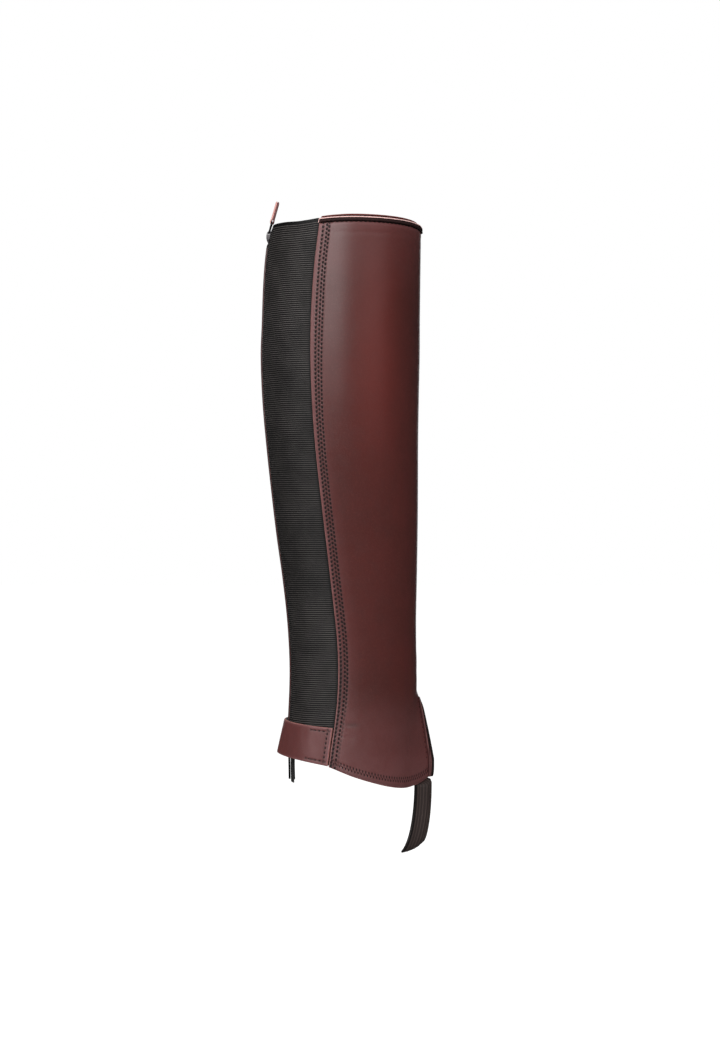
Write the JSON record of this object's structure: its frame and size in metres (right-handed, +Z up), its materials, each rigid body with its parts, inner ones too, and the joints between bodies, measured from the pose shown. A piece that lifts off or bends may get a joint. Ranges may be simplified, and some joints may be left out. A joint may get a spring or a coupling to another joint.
{
  "type": "leather half chap",
  "caption": "Leather half chap for the right leg, filled out and empty, with a ribbed elastic gusset, a back zip, a hem tab and an elastic foot strap.",
  "frame": {"origin": "on the leg's axis at the fullest part of the calf", "axes": "+Z up the leg, +X to the shin, -Y to the outer side of the leg with the elastic gusset"},
  "size_m": [0.1339, 0.1178, 0.5012],
  "materials": {
    "leather": "smooth burgundy brown leather, soft sheen",
    "leather_dark": "darker edge leather with pink raw edges",
    "elastic": "black elastic with fine cross ribs",
    "zip_tape": "black woven zip tape",
    "zip_teeth": "dark coil teeth",
    "metal": "polished nickel"
  },
  "bodies": {
    "chap": {"main_panel": "leather", "dart_welt": "leather_dark", "rim_facing": "leather_dark", "rim_band": "leather_dark", "elastic_panel": "elastic", "zip_tape_outer": "zip_tape", "zip_tape_inner": "zip_tape", "zip_chain": "zip_teeth", "hem_tab": "leather", "snap_cap": "metal", "snap_stud": "metal", "zip_foot": "metal", "zip_slider": "metal", "foot_strap": "elastic"},
    "pull": {"pull_link": "metal", "pull_tab": "leather"}
  },
  "joints": [
    {"name": "pull_swing", "type": "hinge", "parent": "chap", "child": "pull", "pos_m": [-0.05436, 0, 0.09328], "axis": [0, -1, 0], "range_deg": [0, 174]}
  ]
}
